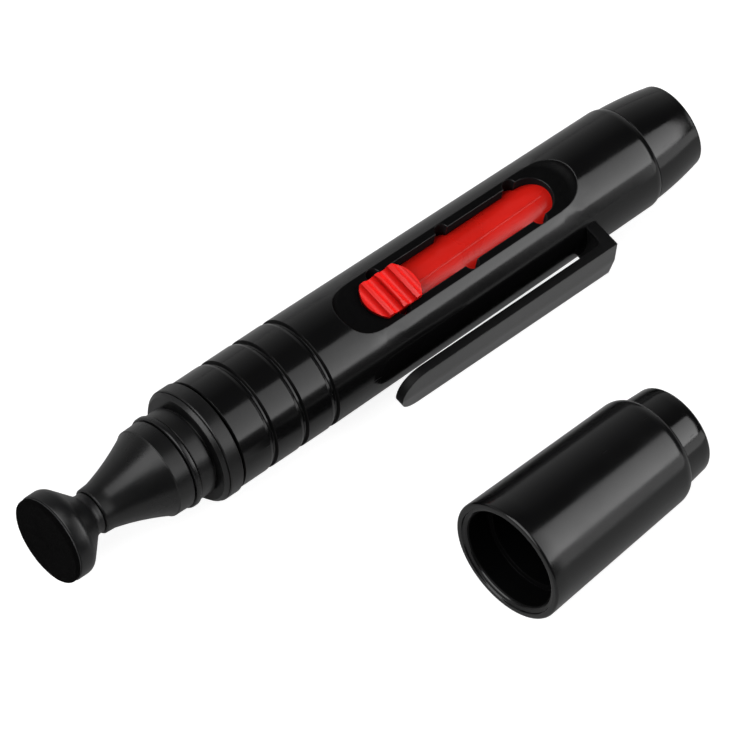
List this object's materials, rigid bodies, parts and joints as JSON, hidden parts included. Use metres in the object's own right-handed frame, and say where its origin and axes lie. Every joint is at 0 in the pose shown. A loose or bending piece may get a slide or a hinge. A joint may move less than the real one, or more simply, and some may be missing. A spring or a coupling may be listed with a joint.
{
  "type": "lens cleaning pen",
  "caption": "Pen-shaped lens cleaner with a flexible suede tip, a sliding retractable brush, a spring clip and a loose cap.",
  "frame": {"origin": "on the pen's axis at the front face of the barrel flange, where the cap's mouth seats", "axes": "+X along the pen from the cleaning tip to the brush end, +Z out of the slider slot, -Y towards the clip"},
  "size_m": [0.1019, 0.051, 0.0167],
  "materials": {
    "black_gloss": "polished black moulding, light scuffs",
    "black_satin": "satin black moulding",
    "black_ring": "black moulded ring",
    "soft_black": "soft satin black rubber",
    "suede": "black suede loaded with carbon powder",
    "adhesive": "adhesive film",
    "red_button": "bright red satin plastic",
    "red_carriage": "red plastic",
    "spring_steel": "spring steel strip",
    "stem_plastic": "stiff dark grey plastic",
    "bristle": "fine dark bristles",
    "anchor": "set adhesive",
    "felt": "black felt loaded with carbon"
  },
  "bodies": {
    "pen": {"barrel": "black_gloss", "front_bush": "black_satin", "grip_ring": "black_ring", "nose_cone": "black_satin", "tip_stem": "stem_plastic", "clip_root": "black_gloss", "rear_sleeve": "black_gloss"},
    "tip": {"tip_head": "soft_black", "pad_backing": "adhesive", "cleaning_pad": "suede"},
    "clip": {"clip_tongue": "black_gloss"},
    "brush": {"brush_carriage": "red_carriage", "brush_ferrule": "black_satin", "tuft_anchor": "anchor", "brush_tuft": "bristle", "button_spring": "spring_steel"},
    "button": {"slide_button": "red_button"},
    "cap": {"cap_shell": "black_gloss", "felt_cup": "black_satin", "carbon_felt": "felt", "cap_end_plug": "black_gloss"}
  },
  "joints": [
    {"name": "brush_slide", "type": "slide", "parent": "pen", "child": "brush", "axis": [1, 0, 0], "range_m": [0, 0.0224]},
    {"name": "button_press", "type": "slide", "parent": "brush", "child": "button", "axis": [0, 0, -1], "range_m": [0, 0.0002], "stiffness_N_per_m": 800, "deforming": ["button_spring"]},
    {"name": "tip_flex", "type": "hinge", "parent": "pen", "child": "tip", "pos_m": [-0.0151, 0, 0], "axis": [0, 1, 0], "range_deg": [-12, 12], "stiffness_Nm_per_rad": 0.03},
    {"name": "clip_flex", "type": "hinge", "parent": "pen", "child": "clip", "pos_m": [0.058, -0.0098, 0], "axis": [0, 0, 1], "range_deg": [0, 5], "stiffness_Nm_per_rad": 0.6},
    {"name": "cap_swing", "type": "hinge", "parent": "pen", "child": "cap", "pos_m": [-0.00305, -0.01834, 0], "axis": [-0.017, -0.0229, -0.9996], "range_deg": [0, 184.09]}
  ]
}
